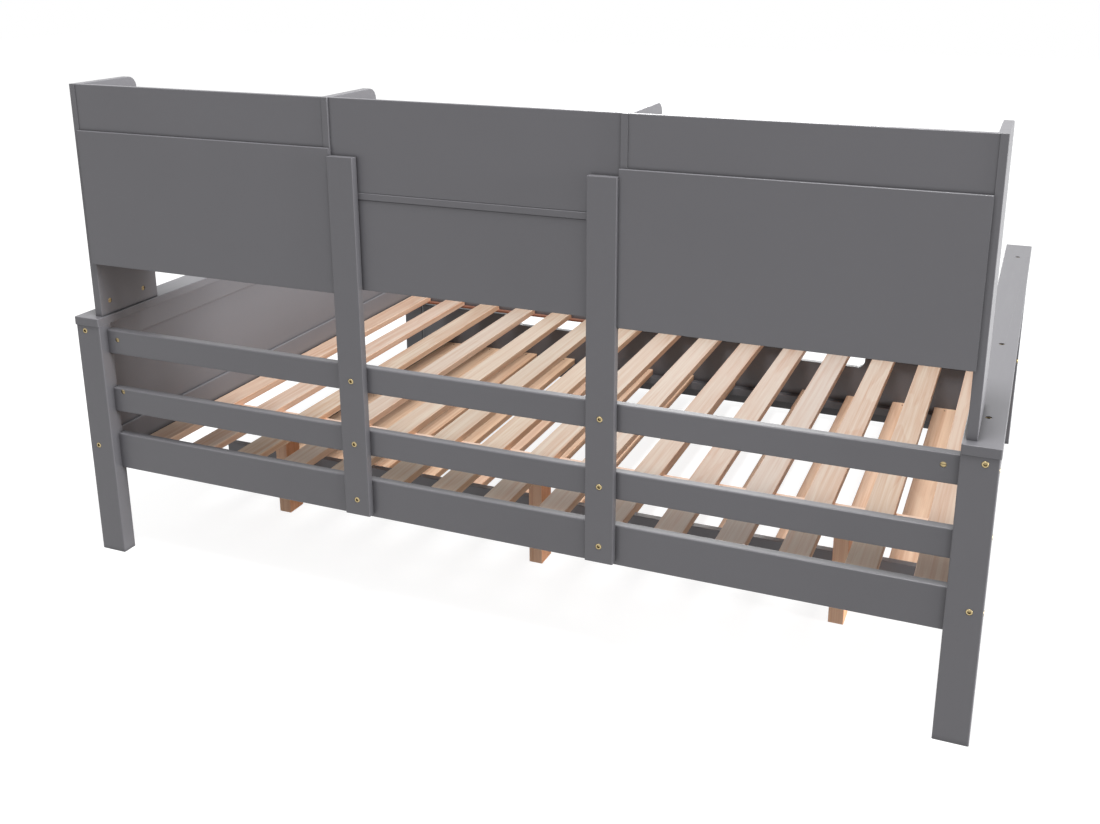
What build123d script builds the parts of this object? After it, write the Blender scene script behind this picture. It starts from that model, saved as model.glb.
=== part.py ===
from build123d import *
import os

# A daybed with a bookcase back and a pull-out trundle bed, in millimetres.
# +X runs along the bed, +Y towards the bookcase at the rear, +Z up, and the
# origin is on the floor, in the middle. Left and right are seen from the front.

# Overall frame
frame_length = 2136
frame_width = 1632
post_width = 70
post_depth = 40
post_height = 606
cap_thickness = 20
cap_overhang = 2
edge_radius = 3
board_radius = 1.5

# End boards between the posts
end_face_inset = 26.5
end_rail_thickness = 36
end_top_rail_height = 64
end_bottom_rail_height = 115
end_panel_thickness = 12
end_panel_recess = 6
groove_depth = 10
panel_expansion_gap = 1

# Side rails
rail_setback = 25
rail_thickness = 22
lower_rail_bottom = 227
lower_rail_height = 93
front_rail_rise = 8
middle_rail_place_share = 0.4
middle_rail_height = 62
upper_rail_drop = 13
upper_rail_height = 61

# Slatted deck
slat_width = 66
slat_thickness = 18
slat_radius = 2
deck_top = 260.5
deck_slat_count = 15
deck_end_gap = 4
deck_far_gap = 33
slat_end_gap = 2
ledger_depth = 24
ledger_height = 25
front_ledger_depth = 16
front_ledger_height = 7.5

# Middle support
beam_width = 60
beam_height = 35
leg_width = 35
leg_depth = 60
leg_end_distance = 274.5
leg_setback = 349

# Battens that stand on the rear rails and carry the bookcase
batten_width = 63
batten_thickness = 19
batten_rise = 9
batten_drop = 122
batten_centre = 295.5

# Bookcase
bookcase_height = 561
bookcase_depth = 200
bookcase_setback = 21.5
side_thickness = 20
divider_thickness = 20
corner_radius = 25
shelf_thickness = 15
shelf_front_inset = 4
outer_floor_drop = 427
outer_shelf_drop = 108
middle_floor_drop = 415
middle_shelf_drop = 199
outer_panel_thickness = 7
outer_panel_cover = 5
outer_panel_rise = 2
strip_thickness = 12
strip_inset = 2
strip_housing = 5
middle_panel_thickness = 9
middle_panel_inset = 1.5

# Trundle bed
trundle_panel_end_gap = 8
trundle_panel_thickness = 20
trundle_panel_bottom = 15
trundle_panel_gap = 3
notch_inner = 370
notch_outer = 613
notch_depth = 33
notch_radius = 24
notch_lip_radius = 4
trundle_rear_end_gap = 42.5
trundle_board_thickness = 20
trundle_leg_gap = 11
trundle_board_bottom = 48
trundle_rear_height = 94
trundle_side_height = 48
trundle_side_inset = 134.5
trundle_side_far_inset = 118.5
trundle_slat_count = 13
trundle_slat_side_gap = 2
trundle_last_slat_step = 129
trundle_slat_end_gap = 0.5
caster_rail_width = 45

# Casters
wheel_radius = 20
wheel_width = 14
wheel_edge_radius = 2
wheel_groove_depth = 2.5
wheel_rim = 4
wheel_hub_radius = 7
axle_radius = 3
axle_clearance = 0.08
axle_head_radius = 5
axle_head_height = 1.5
fork_thickness = 2
fork_width = 24
fork_side_gap = 0.8
plate_width = 40
plate_length = 52
plate_corner_radius = 4
plate_screw_radius = 2.2
plate_screw_inset = 6
front_caster_inset = 150
rear_caster_inset = 156

# Bolts and barrel nuts
bolt_radius = 3
bolt_head_radius = 6.5
bolt_head_height = 4.5
bolt_head_proud = 0.6
bolt_head_chamfer = 0.8
bolt_tip = 3
socket_across = 7
socket_depth = 3
bolt_clearance = 0.2
nut_radius = 6
nut_clearance = 0.1
nut_length = 18
nut_slot_width = 1.4
nut_slot_depth = 1.2
thread_clearance = 0.05
nut_distance = 29
end_nut_distance = 20
bottom_rail_bolt_drop = 30
top_rail_bolt_drop = 14
upper_bolt_rise = 37
middle_bolt_rise = 54
batten_bolt_bite = 17
bookcase_nut_rise = 33
bookcase_rear_bolt_inset = 32
bookcase_front_bolt_inset = 50
cap_bolt_inset = 32.5
cap_bolt_end_distance = 151
cap_middle_bolt_y = 189
cap_bolt_recess = 1.5
cap_bolt_bite = 25
leg_bolt_drop = 17.5

# Places that several pieces share
post_inner_x = frame_length / 2 - post_width
post_inner_y = frame_width / 2 - post_depth
post_centre_x = frame_length / 2 - post_width / 2
post_centre_y = frame_width / 2 - post_depth / 2
end_face_x = post_inner_x + end_face_inset
end_centre_x = end_face_x + end_rail_thickness / 2
rail_outer_y = frame_width / 2 - rail_setback
rail_inner_y = rail_outer_y - rail_thickness
rail_centre_y = rail_outer_y - rail_thickness / 2
end_bottom_rail_top = lower_rail_bottom + lower_rail_height
upper_rail_bottom = post_height - upper_rail_drop - upper_rail_height
middle_rail_play = upper_rail_bottom - end_bottom_rail_top - middle_rail_height
middle_rail_bottom = end_bottom_rail_top + middle_rail_place_share * middle_rail_play
slat_bottom = deck_top - slat_thickness
leg_front_y = frame_width / 2 - leg_setback - leg_depth
beam_centre_y = leg_front_y - beam_width / 2
leg_bolt_height = slat_bottom - leg_bolt_drop
cap_top = post_height + cap_thickness
bookcase_top = cap_top + bookcase_height
outer_floor_bottom = bookcase_top - outer_floor_drop
outer_shelf_top = bookcase_top - outer_shelf_drop
middle_floor_bottom = bookcase_top - middle_floor_drop
middle_shelf_top = bookcase_top - middle_shelf_drop
bookcase_rear = frame_width / 2 - bookcase_setback
bookcase_front = bookcase_rear - bookcase_depth
side_inner_x = end_face_x - side_thickness
divider_inner_x = batten_centre + batten_width / 2
divider_outer_x = divider_inner_x + divider_thickness
middle_back_y = rail_outer_y - middle_panel_inset
ends = {"left": -1, "right": 1}


def span(low, high):
    """The middle and the size of a stretch."""
    return (low + high) / 2, high - low


def board(x_span, y_span, z_span, grain, radius):
    """A planed board whose four edges along the grain are rounded."""
    (x_mid, x_size), (y_mid, y_size), (z_mid, z_size) = (span(*s) for s in (x_span, y_span, z_span))
    with BuildPart() as piece:
        with BuildSketch(Plane.XY.offset(z_mid - z_size / 2)):
            with Locations((x_mid, y_mid)):
                Rectangle(x_size, y_size)
        extrude(amount=z_size)
        fillet(piece.edges().filter_by(grain), radius)
    return piece.part


def sideways(x, y, z, direction):
    """A plane at a point, facing along +X or -X."""
    return Plane(origin=(x, y, z), x_dir=(0, 1, 0), z_dir=(direction, 0, 0))


def lengthways(x, y, z, direction):
    """A plane at a point, facing along +Y or -Y."""
    return Plane(origin=(x, y, z), x_dir=(1, 0, 0), z_dir=(0, direction, 0))


def upright(x, y, z, direction=1):
    """A plane at a point, facing up or down."""
    return Plane(origin=(x, y, z), x_dir=(1, 0, 0), z_dir=(0, 0, direction))


def save(piece, name):
    """Labels a finished piece and writes its file."""
    piece.part.label = name
    export_step(piece.part, f"parts/{name}.step")


def socket_bolt(length):
    """A hex-socket bolt that points down, with its seat at the origin."""
    with BuildPart() as bolt:
        Cylinder(bolt_radius, length, align=(Align.CENTER, Align.CENTER, Align.MAX))
        Cylinder(bolt_head_radius, bolt_head_height, align=(Align.CENTER, Align.CENTER, Align.MIN))
        chamfer(bolt.edges().group_by(Axis.Z)[-1], bolt_head_chamfer)
        with BuildSketch(Plane.XY.offset(bolt_head_height)):
            RegularPolygon(socket_across / 2, 6, major_radius=False)
        extrude(amount=-socket_depth, mode=Mode.SUBTRACT)
    return bolt.part


os.makedirs("parts", exist_ok=True)

bore = bolt_radius + bolt_clearance
head_bore = bolt_head_radius + bolt_clearance
head_sink = bolt_head_height - bolt_head_proud
end_bolt_length = post_depth - head_sink + end_nut_distance + nut_radius + bolt_tip
side_bolt_length = post_width - head_sink + nut_distance + nut_radius + bolt_tip
side_bolt_heights = {
    "upper": upper_rail_bottom + upper_bolt_rise,
    "middle": middle_rail_bottom + middle_bolt_rise,
    "lower": lower_rail_bottom + lower_rail_height / 2,
}
end_bolt_heights = (end_bottom_rail_top - bottom_rail_bolt_drop, post_height - top_rail_bolt_drop)

# Posts, drilled for the bolts of the rails
for depth_name, toward in {"front": -1, "rear": 1}.items():
    for side_name, side in ends.items():
        rail_bolts = side_bolt_heights.values() if toward > 0 else [side_bolt_heights["lower"]]
        with BuildPart() as post:
            with BuildSketch():
                with Locations((side * post_centre_x, toward * post_centre_y)):
                    Rectangle(post_width, post_depth)
            extrude(amount=post_height)
            fillet(post.edges().filter_by(Axis.Z), edge_radius)
            with Locations(*[
                lengthways(side * end_centre_x, toward * frame_width / 2, height, toward)
                for height in end_bolt_heights
            ]):
                CounterBoreHole(bore, head_bore, head_sink, depth=post_depth)
            with Locations(*[
                sideways(side * frame_length / 2, toward * rail_centre_y, height, side)
                for height in rail_bolts
            ]):
                CounterBoreHole(bore, head_bore, head_sink, depth=post_width)
        save(post, f"{depth_name}_post_{side_name}")

# End boards: a panel held in the grooves of two rails, and a flat cap on top
panel_tongue = groove_depth - panel_expansion_gap
end_rail_spans = {
    "top": (post_height - end_top_rail_height, post_height),
    "bottom": (end_bottom_rail_top - end_bottom_rail_height, end_bottom_rail_top),
}
cap_bolt_x = frame_length / 2 - cap_bolt_inset
cap_bolt_reach = frame_width / 2 - cap_bolt_end_distance
cap_bolt_ys = (-cap_bolt_reach, cap_middle_bolt_y, cap_bolt_reach)
cap_bolt_sink = bolt_head_height + cap_bolt_recess
bookcase_bolt_places = (bookcase_rear - bookcase_rear_bolt_inset, bookcase_front + bookcase_front_bolt_inset)
for side_name, side in ends.items():
    rail_x = sorted((side * end_face_x, side * (end_face_x + end_rail_thickness)))
    panel_face = end_face_x + end_panel_recess
    panel_x = sorted((side * panel_face, side * (panel_face + end_panel_thickness)))
    for level, (low, high) in end_rail_spans.items():
        groove_low, groove_high = (low, low + groove_depth) if level == "top" else (high - groove_depth, high)
        bolt_height = end_bolt_heights[1] if level == "top" else end_bolt_heights[0]
        with BuildPart() as end_rail:
            add(board(rail_x, (-post_inner_y, post_inner_y), (low, high), Axis.Y, edge_radius))
            with BuildSketch(Plane.XY.offset(groove_low)):
                with Locations((span(*panel_x)[0], 0)):
                    Rectangle(end_panel_thickness, 2 * post_inner_y)
            extrude(amount=groove_high - groove_low, mode=Mode.SUBTRACT)
            for toward in (-1, 1):
                with Locations(lengthways(side * end_centre_x, toward * post_inner_y, bolt_height, toward)):
                    Hole(bore, end_nut_distance + nut_radius + bolt_tip)
                nut_y = toward * (post_inner_y - end_nut_distance)
                with Locations(sideways(side * end_face_x, nut_y, bolt_height, -side)):
                    Hole(nut_radius + nut_clearance, end_rail_thickness / 2 + nut_length / 2)
            if level == "top":
                with Locations(*[upright(side * cap_bolt_x, y, high) for y in cap_bolt_ys]):
                    Hole(bore, cap_bolt_bite)
            else:
                with Locations(sideways(side * (end_face_x + end_rail_thickness), beam_centre_y,
                                        leg_bolt_height, side)):
                    CounterBoreHole(bore, head_bore, head_sink, depth=end_rail_thickness)
        save(end_rail, f"end_{level}_rail_{side_name}")

    with BuildPart() as end_panel:
        with BuildSketch(Plane.XY.offset(end_bottom_rail_top - panel_tongue)):
            with Locations((span(*panel_x)[0], 0)):
                Rectangle(end_panel_thickness, 2 * post_inner_y)
        extrude(amount=end_rail_spans["top"][0] - end_bottom_rail_top + 2 * panel_tongue)
    save(end_panel, f"end_panel_{side_name}")

    cap_x = sorted((side * post_inner_x, side * (frame_length / 2 + cap_overhang)))
    cap_y = frame_width / 2 + cap_overhang
    with BuildPart() as end_cap:
        with BuildSketch(Plane.XY.offset(post_height)):
            with Locations((span(*cap_x)[0], 0)):
                RectangleRounded(cap_x[1] - cap_x[0], 2 * cap_y, edge_radius)
        extrude(amount=cap_thickness)
        fillet(end_cap.edges().group_by(Axis.Z)[-1], edge_radius / 2)
        with Locations(*[upright(side * cap_bolt_x, y, cap_top) for y in cap_bolt_ys]):
            CounterBoreHole(bore, head_bore, cap_bolt_sink, depth=cap_thickness)
        with Locations(*[
            upright(side * (side_inner_x + side_thickness / 2), y, cap_top)
            for y in bookcase_bolt_places
        ]):
            Hole(bore, cap_thickness)
    save(end_cap, f"end_cap_{side_name}")

# Rear rails, with barrel-nut holes and the holes of the batten bolts
rail_spans = {
    "upper": (upper_rail_bottom, upper_rail_bottom + upper_rail_height),
    "middle": (middle_rail_bottom, middle_rail_bottom + middle_rail_height),
    "lower": (lower_rail_bottom, lower_rail_bottom + lower_rail_height),
}
nut_depth = rail_thickness / 2 + nut_length / 2
for level, (low, high) in rail_spans.items():
    bolt_height = side_bolt_heights[level]
    with BuildPart() as rear_rail:
        add(board((-post_inner_x, post_inner_x), (rail_inner_y, rail_outer_y), (low, high),
                  Axis.X, edge_radius))
        for side in ends.values():
            with Locations(sideways(side * post_inner_x, rail_centre_y, bolt_height, side)):
                Hole(bore, nut_distance + nut_radius + bolt_tip)
            nut_x = side * (post_inner_x - nut_distance)
            nut_mouths = {
                "upper": lengthways(nut_x, rail_outer_y, bolt_height, 1),
                "middle": lengthways(nut_x, rail_centre_y + side * rail_thickness / 2, bolt_height, side),
                "lower": lengthways(nut_x, rail_inner_y, bolt_height, -1),
            }
            with Locations(nut_mouths[level]):
                Hole(nut_radius + nut_clearance, nut_depth)
            with Locations(lengthways(side * batten_centre, rail_outer_y, (low + high) / 2, 1)):
                Hole(bore, batten_bolt_bite)
    save(rear_rail, f"rear_{level}_rail")

# Front side rail, under the mattress's front edge, raised to clear the trundle's notches
with BuildPart() as front_side_rail:
    add(board((-post_inner_x, post_inner_x), (-rail_outer_y, -rail_inner_y),
              (lower_rail_bottom + front_rail_rise, end_bottom_rail_top), Axis.X, edge_radius))
    for side in ends.values():
        with Locations(sideways(side * post_inner_x, -rail_centre_y, side_bolt_heights["lower"], side)):
            Hole(bore, nut_distance + nut_radius + bolt_tip)
        nut_x = side * (post_inner_x - nut_distance)
        with Locations(lengthways(nut_x, -rail_inner_y, side_bolt_heights["lower"], 1)):
            Hole(nut_radius + nut_clearance, nut_depth)
save(front_side_rail, "front_side_rail")

# Ledgers along the side rails, for the ends of the slats; the front one is a flat lath
slat_ledgers = {
    "front": (-1, front_ledger_depth, front_ledger_height),
    "rear": (1, ledger_depth, ledger_height),
}
for depth_name, (toward, depth, height) in slat_ledgers.items():
    ledger_y = sorted((toward * rail_inner_y, toward * (rail_inner_y - depth)))
    with BuildPart() as slat_ledger:
        add(board((-end_face_x, end_face_x), ledger_y, (slat_bottom - height, slat_bottom),
                  Axis.X, board_radius))
    save(slat_ledger, f"{depth_name}_slat_ledger")

# Deck slats, laid loose from end to end
deck_slat_start = end_face_x - deck_end_gap - slat_width / 2
deck_slat_pitch = (2 * end_face_x - deck_end_gap - deck_far_gap - slat_width) / (deck_slat_count - 1)
deck_slat_length = 2 * (rail_inner_y - slat_end_gap)
with BuildPart() as deck_slats:
    with BuildSketch(Plane.XZ.offset(-deck_slat_length / 2)):
        with Locations(*[
            (deck_slat_start - place * deck_slat_pitch, slat_bottom + slat_thickness / 2)
            for place in range(deck_slat_count)
        ]):
            Rectangle(slat_width, slat_thickness)
    extrude(amount=deck_slat_length)
    fillet(deck_slats.edges().filter_by(Axis.Y).group_by(Axis.Z)[-1], slat_radius)
save(deck_slats, "deck_slats")

# Middle beam on its side, and the three legs bolted behind it
leg_places = (leg_end_distance - end_face_x, 0, end_face_x - leg_end_distance)
beam_nut_depth = beam_height - leg_bolt_drop + nut_length / 2
with BuildPart() as support_beam:
    add(board((-end_face_x, end_face_x), (leg_front_y - beam_width, leg_front_y),
              (slat_bottom - beam_height, slat_bottom), Axis.X, board_radius))
    for leg_x in leg_places:
        with Locations(lengthways(leg_x, leg_front_y, leg_bolt_height, 1)):
            Hole(bore, nut_distance + nut_radius + bolt_tip)
        with Locations(upright(leg_x, leg_front_y - nut_distance, slat_bottom - beam_height, -1)):
            Hole(nut_radius + nut_clearance, beam_nut_depth)
    for side in ends.values():
        with Locations(sideways(side * end_face_x, beam_centre_y, leg_bolt_height, side)):
            Hole(bore, nut_distance + nut_radius + bolt_tip)
        nut_x = side * (end_face_x - nut_distance)
        with Locations(upright(nut_x, beam_centre_y, slat_bottom - beam_height, -1)):
            Hole(nut_radius + nut_clearance, beam_nut_depth)
save(support_beam, "support_beam")

for leg_name, leg_x in zip(("left", "middle", "right"), leg_places):
    with BuildPart() as support_leg:
        add(board((leg_x - leg_width / 2, leg_x + leg_width / 2), (leg_front_y, leg_front_y + leg_depth),
                  (0, slat_bottom), Axis.Z, board_radius))
        with Locations(lengthways(leg_x, leg_front_y + leg_depth, leg_bolt_height, 1)):
            CounterBoreHole(bore, head_bore, head_sink, depth=leg_depth)
    save(support_leg, f"support_leg_{leg_name}")

# Battens bolted to the three rear rails
batten_span = (lower_rail_bottom + batten_rise, bookcase_top - batten_drop)
for side_name, side in ends.items():
    batten_x = sorted((side * (batten_centre - batten_width / 2), side * (batten_centre + batten_width / 2)))
    with BuildPart() as batten:
        add(board(batten_x, (rail_outer_y, rail_outer_y + batten_thickness), batten_span,
                  Axis.Z, board_radius))
        with Locations(*[
            lengthways(side * batten_centre, rail_outer_y + batten_thickness, (low + high) / 2, 1)
            for low, high in rail_spans.values()
        ]):
            CounterBoreHole(bore, head_bore, head_sink, depth=batten_thickness)
    save(batten, f"batten_{side_name}")

# Bookcase uprights, with rounded corners at the upper front and housings for the top strips
strip_rear = bookcase_rear - strip_inset
strip_front = strip_rear - strip_thickness
upright_shapes = {
    "side": (side_inner_x, side_thickness, cap_top),
    "divider": (divider_inner_x, divider_thickness, outer_floor_bottom),
}
for kind, (inner_x, thickness, bottom) in upright_shapes.items():
    for side_name, side in ends.items():
        upright_x = sorted((side * inner_x, side * (inner_x + thickness)))
        with BuildPart() as bookcase_upright:
            with BuildSketch(Plane.YZ.offset(upright_x[0])):
                with Locations(((bookcase_front + bookcase_rear) / 2, (bottom + bookcase_top) / 2)):
                    Rectangle(bookcase_depth, bookcase_top - bottom)
            extrude(amount=thickness)
            fillet(bookcase_upright.edges().filter_by(Axis.X).group_by(Axis.Z)[-1].sort_by(Axis.Y)[0],
                   corner_radius)
            fillet(bookcase_upright.faces().filter_by(Axis.X).edges(), board_radius)
            housing_edge = inner_x if kind == "side" else inner_x + thickness - strip_housing
            housing_x = sorted((side * housing_edge, side * (housing_edge + strip_housing)))
            with BuildSketch(Plane.XY.offset(outer_shelf_top)):
                with Locations((span(*housing_x)[0], (strip_front + bookcase_rear) / 2)):
                    Rectangle(strip_housing, bookcase_rear - strip_front)
            extrude(amount=bookcase_top - outer_shelf_top, mode=Mode.SUBTRACT)
            if kind == "side":
                nut_height = cap_top + bookcase_nut_rise
                for y in bookcase_bolt_places:
                    with Locations(upright(side * (inner_x + thickness / 2), y, bottom, -1)):
                        Hole(bore, bookcase_nut_rise + nut_radius + bolt_tip)
                    with Locations(sideways(side * inner_x, y, nut_height, -side)):
                        Hole(nut_radius + nut_clearance, thickness / 2 + nut_length / 2)
        save(bookcase_upright, f"bookcase_{kind}_{side_name}")

# Shelves and floors of the outer bays, level with the uprights' rear edges
shelf_front = bookcase_front + shelf_front_inset
outer_levels = {"cubby_floor": outer_floor_bottom, "shelf": outer_shelf_top - shelf_thickness}
for side_name, side in ends.items():
    bay_x = sorted((side * divider_outer_x, side * side_inner_x))
    for kind, low in outer_levels.items():
        with BuildPart() as outer_shelf:
            add(board(bay_x, (shelf_front, bookcase_rear), (low, low + shelf_thickness),
                      Axis.X, board_radius))
        save(outer_shelf, f"{kind}_{side_name}")

    panel_x = sorted((side * divider_inner_x, side * (side_inner_x + outer_panel_cover)))
    panel_top = outer_shelf_top + outer_panel_rise
    with BuildPart() as back_panel:
        add(board(panel_x, (bookcase_rear, bookcase_rear + outer_panel_thickness),
                  (outer_floor_bottom, panel_top), Axis.X, board_radius))
    save(back_panel, f"back_panel_{side_name}")

    strip_x = sorted((side * (divider_outer_x - strip_housing), side * (side_inner_x + strip_housing)))
    with BuildPart() as top_strip:
        add(board(strip_x, (strip_front, strip_rear), (outer_shelf_top, bookcase_top),
                  Axis.X, board_radius))
    save(top_strip, f"top_strip_{side_name}")

# Middle bay, whose shelf reaches the battens between two thin panels
middle_x = (-divider_inner_x, divider_inner_x)
middle_panel_y = (middle_back_y - middle_panel_thickness, middle_back_y)
middle_shelf_bottom = middle_shelf_top - shelf_thickness
with BuildPart() as shelf_middle:
    add(board(middle_x, (shelf_front, rail_outer_y), (middle_shelf_bottom, middle_shelf_top),
              Axis.X, board_radius))
save(shelf_middle, "shelf_middle")

with BuildPart() as cubby_floor_middle:
    add(board(middle_x, (shelf_front, middle_panel_y[0]),
              (middle_floor_bottom, middle_floor_bottom + shelf_thickness), Axis.X, board_radius))
save(cubby_floor_middle, "cubby_floor_middle")

with BuildPart() as back_panel_middle:
    add(board(middle_x, middle_panel_y, (middle_floor_bottom, middle_shelf_bottom), Axis.X, board_radius))
save(back_panel_middle, "back_panel_middle")

with BuildPart() as top_panel_middle:
    add(board(middle_x, middle_panel_y, (middle_shelf_top, bookcase_top), Axis.X, board_radius))
save(top_panel_middle, "top_panel_middle")

# Trundle front panel, with two finger notches in its top edge
trundle_panel_top = lower_rail_bottom - trundle_panel_gap
trundle_panel_rear = -rail_outer_y + trundle_panel_thickness
trundle_panel_height = trundle_panel_top - trundle_panel_bottom
trundle_panel_half_length = post_inner_x - trundle_panel_end_gap
with BuildPart() as trundle_front_panel:
    with BuildSketch(Plane.XZ.offset(-trundle_panel_rear)) as panel_face:
        with Locations((0, (trundle_panel_top + trundle_panel_bottom) / 2)):
            Rectangle(2 * trundle_panel_half_length, trundle_panel_height)
        for side in ends.values():
            with BuildLine():
                Polyline(
                    (side * notch_inner, trundle_panel_top),
                    (side * notch_inner, trundle_panel_top - notch_depth),
                    (side * notch_outer, trundle_panel_top - notch_depth),
                    (side * notch_outer, trundle_panel_top),
                    close=True,
                )
            make_face(mode=Mode.SUBTRACT)
        notch_floor = panel_face.vertices().group_by(Axis.Y)[1]
        fillet(notch_floor, notch_radius)
        notch_lips = panel_face.vertices().group_by(Axis.Y)[-1].sort_by(Axis.X)[1:-1]
        fillet(notch_lips, notch_lip_radius)
    extrude(amount=trundle_panel_thickness)
    fillet(trundle_front_panel.faces().filter_by(Axis.Y).edges(), board_radius)
save(trundle_front_panel, "trundle_front_panel")

# Trundle boards: a rear board that runs past two low side boards
trundle_rear = leg_front_y - trundle_leg_gap
trundle_rear_inner = trundle_rear - trundle_board_thickness
trundle_rear_reach = end_face_x - trundle_rear_end_gap
trundle_inner_x = {"left": trundle_side_far_inset - end_face_x, "right": end_face_x - trundle_side_inset}
trundle_inner_span = (trundle_inner_x["left"], trundle_inner_x["right"])
with BuildPart() as trundle_rear_board:
    add(board((-trundle_rear_reach, trundle_rear_reach), (trundle_rear_inner, trundle_rear),
              (trundle_board_bottom, trundle_board_bottom + trundle_rear_height), Axis.X, board_radius))
save(trundle_rear_board, "trundle_rear_board")

for side_name, side in ends.items():
    inner_x = trundle_inner_x[side_name]
    side_x = sorted((inner_x, inner_x + side * trundle_board_thickness))
    with BuildPart() as trundle_side:
        add(board(side_x, (trundle_panel_rear, trundle_rear_inner),
                  (trundle_board_bottom, trundle_board_bottom + trundle_side_height), Axis.Y, board_radius))
    save(trundle_side, f"trundle_side_{side_name}")

# Ledgers and caster rails inside the trundle box
trundle_ledger_top = trundle_board_bottom + ledger_height
with BuildPart() as trundle_ledgers:
    for low in (trundle_panel_rear, trundle_rear_inner - ledger_depth):
        add(board(trundle_inner_span, (low, low + ledger_depth),
                  (trundle_board_bottom, trundle_ledger_top), Axis.X, board_radius))
save(trundle_ledgers, "trundle_ledgers")

caster_rail_y = (trundle_panel_rear + ledger_depth, trundle_rear_inner - ledger_depth)
with BuildPart() as caster_rails:
    for side_name, side in ends.items():
        inner_x = trundle_inner_x[side_name]
        rail_x = sorted((inner_x - side * caster_rail_width, inner_x))
        add(board(rail_x, caster_rail_y, (trundle_board_bottom, trundle_ledger_top), Axis.Y, board_radius))
save(caster_rails, "caster_rails")

# Trundle slats, evenly spaced but for the last, which lies closer
trundle_slat_y = (trundle_panel_rear + trundle_slat_end_gap, trundle_rear_inner - trundle_slat_end_gap)
slat_inset = trundle_slat_side_gap + slat_width / 2
trundle_slat_first = trundle_inner_x["right"] - slat_inset
trundle_slat_last = trundle_inner_x["left"] + slat_inset
even_run = trundle_slat_first - trundle_slat_last - trundle_last_slat_step
trundle_slat_pitch = even_run / (trundle_slat_count - 2)
even_slats = [trundle_slat_first - place * trundle_slat_pitch for place in range(trundle_slat_count - 1)]
with BuildPart() as trundle_slats:
    with BuildSketch(Plane.XZ.offset(-trundle_slat_y[1])):
        with Locations(*[
            (x, trundle_ledger_top + slat_thickness / 2) for x in [*even_slats, trundle_slat_last]
        ]):
            Rectangle(slat_width, slat_thickness)
    extrude(amount=trundle_slat_y[1] - trundle_slat_y[0])
    fillet(trundle_slats.edges().filter_by(Axis.Y).group_by(Axis.Z)[-1], slat_radius)
save(trundle_slats, "trundle_slats")

# Casters: a plate with a fork, a riveted axle and a wheel that rolls front to rear
caster_xs = {name: trundle_inner_x[name] - side * caster_rail_width / 2 for name, side in ends.items()}
caster_ys = {"front": trundle_panel_rear + front_caster_inset, "rear": trundle_rear_inner - rear_caster_inset}
fork_inner = wheel_width / 2 + fork_side_gap
fork_outer = fork_inner + fork_thickness
axle_bore = axle_radius + axle_clearance
caster_spots = [(x, y) for y in caster_ys.values() for x in caster_xs.values()]

with BuildPart() as bracket:
    with BuildSketch(Plane.XY.offset(trundle_board_bottom)):
        RectangleRounded(plate_width, plate_length, plate_corner_radius)
    extrude(amount=-fork_thickness)
    with Locations(upright(0, 0, trundle_board_bottom)):
        with GridLocations(plate_width - 2 * plate_screw_inset, plate_length - 2 * plate_screw_inset, 2, 2):
            Hole(plate_screw_radius, fork_thickness)
    for side in ends.values():
        with BuildSketch(Plane.YZ.offset(side * fork_inner if side > 0 else side * fork_outer)):
            with BuildLine():
                Polyline(
                    (-fork_width / 2, trundle_board_bottom - fork_thickness),
                    (-axle_head_radius - fork_thickness, wheel_radius),
                )
                RadiusArc(
                    (-axle_head_radius - fork_thickness, wheel_radius),
                    (axle_head_radius + fork_thickness, wheel_radius),
                    -(axle_head_radius + fork_thickness),
                )
                Polyline(
                    (axle_head_radius + fork_thickness, wheel_radius),
                    (fork_width / 2, trundle_board_bottom - fork_thickness),
                    (-fork_width / 2, trundle_board_bottom - fork_thickness),
                )
            make_face()
        extrude(amount=fork_thickness)
    with Locations(sideways(fork_outer, 0, wheel_radius, 1)):
        Hole(axle_bore, 2 * fork_outer)

with BuildPart() as caster_brackets:
    with Locations(*caster_spots):
        add(bracket.part)
save(caster_brackets, "caster_brackets")

with BuildPart() as axle:
    with BuildSketch(Plane.YZ.offset(-fork_outer)):
        with Locations((0, wheel_radius)):
            Circle(axle_radius)
    extrude(amount=2 * fork_outer)
    with BuildSketch(Plane.YZ.offset(fork_outer), Plane.YZ.offset(-fork_outer - axle_head_height)):
        with Locations((0, wheel_radius)):
            Circle(axle_head_radius)
    extrude(amount=axle_head_height)

with BuildPart() as caster_axles:
    with Locations(*caster_spots):
        add(axle.part)
save(caster_axles, "caster_axles")

tread_radius = wheel_radius - wheel_rim
with BuildPart() as wheel:
    with BuildSketch(Plane.YZ.offset(-wheel_width / 2)):
        with Locations((0, wheel_radius)):
            Circle(wheel_radius)
            Circle(axle_bore, mode=Mode.SUBTRACT)
    extrude(amount=wheel_width)
    fillet(wheel.edges().filter_by(GeomType.CIRCLE).group_by(SortBy.RADIUS)[-1], wheel_edge_radius)
    for face_x in (-wheel_width / 2, wheel_width / 2 - wheel_groove_depth):
        with BuildSketch(Plane.YZ.offset(face_x)):
            with Locations((0, wheel_radius)):
                Circle(tread_radius)
                Circle(wheel_hub_radius, mode=Mode.SUBTRACT)
        extrude(amount=wheel_groove_depth, mode=Mode.SUBTRACT)

for depth_name, y in caster_ys.items():
    for side_name, x in caster_xs.items():
        with BuildPart() as caster_wheel:
            with Locations((x, y)):
                add(wheel.part)
        save(caster_wheel, f"caster_wheel_{depth_name}_{side_name}")

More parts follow.
